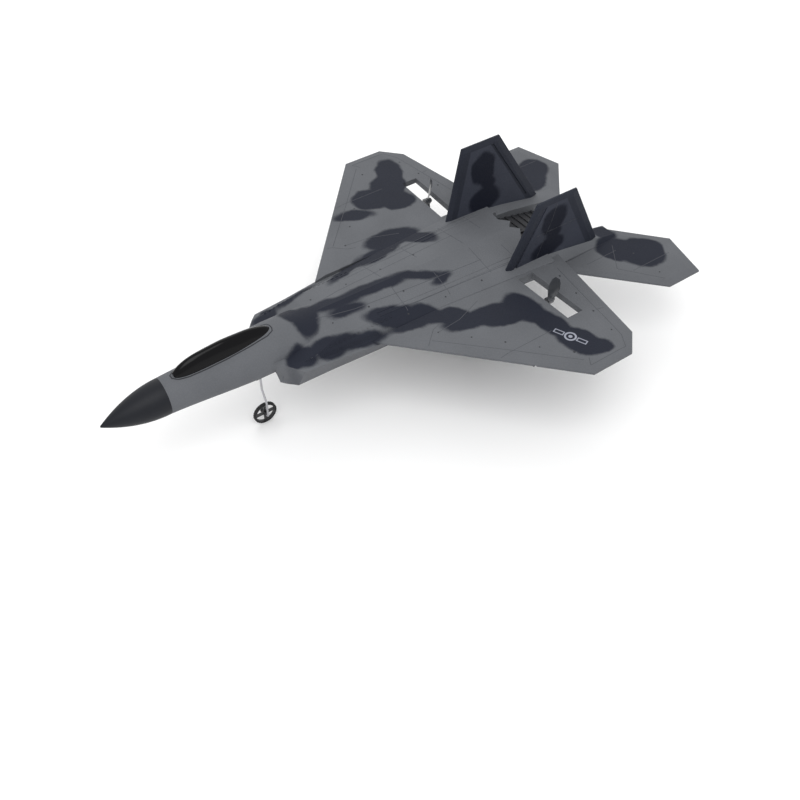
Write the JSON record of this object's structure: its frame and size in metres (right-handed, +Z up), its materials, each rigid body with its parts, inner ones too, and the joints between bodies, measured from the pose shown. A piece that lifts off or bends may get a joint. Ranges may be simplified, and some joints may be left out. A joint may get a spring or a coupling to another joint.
{
  "type": "radio-controlled model jet plane",
  "caption": "Foam twin-motor model jet with swept wings, canted twin fins, pusher propellers in wing slots and a fixed wire undercarriage.",
  "frame": {"origin": "on the ground under the wheels, at the middle of the aircraft's length and span", "axes": "nose towards -Y, left wing towards +X, up is +Z"},
  "size_m": [0.2858, 0.42, 0.1243],
  "materials": {
    "foam_camo": "moulded bead foam, sprayed in soft-edged grey patches",
    "foam_dark": "moulded bead foam, sprayed dark blue-grey",
    "nose_charcoal": "satin black-grey paint",
    "canopy_black": "glossy black moulding",
    "exhaust_black": "matt black",
    "black_plastic": "fine moulded grain",
    "propeller_grey": "smoky grey moulded blade",
    "motor_can": "drawn steel can",
    "spring_steel": "bare music wire",
    "carbon_rod": "pultruded carbon",
    "tyre_black": "soft foam rubber",
    "hub_black": "moulded black hub",
    "board_green": "solder-masked board",
    "chip_black": "moulded packages",
    "battery_wrap": "heat-shrink wrap over the cell",
    "plug_white": "moulded nylon plug",
    "lead_red": "silicone insulation",
    "led_red": "tinted lens",
    "screw_steel": "black oxide screws"
  },
  "bodies": {
    "airframe": {"fuselage_upper": "foam_camo", "fuselage_lower": "foam_camo", "nose_cone": "nose_charcoal", "canopy": "canopy_black", "wing_left": "foam_camo", "wing_right": "foam_camo", "stabiliser_left": "foam_camo", "stabiliser_right": "foam_camo", "fin_left": "foam_dark", "fin_right": "foam_dark", "exhaust_plate": "exhaust_black", "wing_spar_left": "carbon_rod", "wing_spar_right": "carbon_rod", "motor_left": "motor_can", "motor_right": "motor_can", "motor_end_cap_left": "black_plastic", "motor_end_cap_right": "black_plastic", "motor_mount_left": "black_plastic", "motor_mount_right": "black_plastic", "equipment_tray": "black_plastic", "door_hinge_pin": "spring_steel", "receiver_board": "board_green", "receiver_chips": "chip_black", "battery": "battery_wrap", "battery_plug": "plug_white", "battery_lead": "lead_red", "switch_body": "black_plastic", "status_led": "led_red", "charge_socket": "plug_white", "tray_screws": "screw_steel", "motor_lead_left": "lead_red", "motor_lead_right": "lead_red", "nose_gear_leg": "spring_steel", "nose_gear_mount": "black_plastic", "main_gear_leg": "spring_steel", "main_gear_mount": "black_plastic", "gear_screws": "screw_steel", "wheel_collars": "black_plastic"},
    "propeller_left": {"propeller_left": "propeller_grey", "motor_shaft_left": "spring_steel"},
    "propeller_right": {"propeller_right": "propeller_grey", "motor_shaft_right": "spring_steel"},
    "nose_wheel": {"nose_tyre": "tyre_black", "nose_hub": "hub_black"},
    "main_wheel_left": {"main_tyre_left": "tyre_black", "main_hub_left": "hub_black"},
    "main_wheel_right": {"main_tyre_right": "tyre_black", "main_hub_right": "hub_black"},
    "battery_door": {"battery_door": "black_plastic"},
    "power_switch": {"switch_knob": "plug_white"}
  },
  "joints": [
    {"name": "propeller_left_spin", "type": "hinge", "parent": "airframe", "child": "propeller_left", "pos_m": [0.07041, 0.0836, 0.06563], "axis": [0, 1, 0], "continuous": true},
    {"name": "propeller_right_spin", "type": "hinge", "parent": "airframe", "child": "propeller_right", "pos_m": [-0.07041, 0.0836, 0.06563], "axis": [0, 1, 0], "continuous": true},
    {"name": "nose_wheel_spin", "type": "hinge", "parent": "airframe", "child": "nose_wheel", "pos_m": [0, -0.1033, 0.0084], "axis": [1, 0, 0], "continuous": true},
    {"name": "main_wheel_left_spin", "type": "hinge", "parent": "airframe", "child": "main_wheel_left", "pos_m": [0.026, 0.052, 0.0084], "axis": [1, 0, 0], "continuous": true},
    {"name": "main_wheel_right_spin", "type": "hinge", "parent": "airframe", "child": "main_wheel_right", "pos_m": [-0.026, 0.052, 0.0084], "axis": [1, 0, 0], "continuous": true},
    {"name": "battery_door_hinge", "type": "hinge", "parent": "airframe", "child": "battery_door", "pos_m": [0, -0.0405, 0.0476], "axis": [-1, 0, 0], "range_deg": [0, 95]},
    {"name": "power_switch_slide", "type": "slide", "parent": "airframe", "child": "power_switch", "axis": [1, 0, 0], "range_m": [0, 0.0024]}
  ]
}
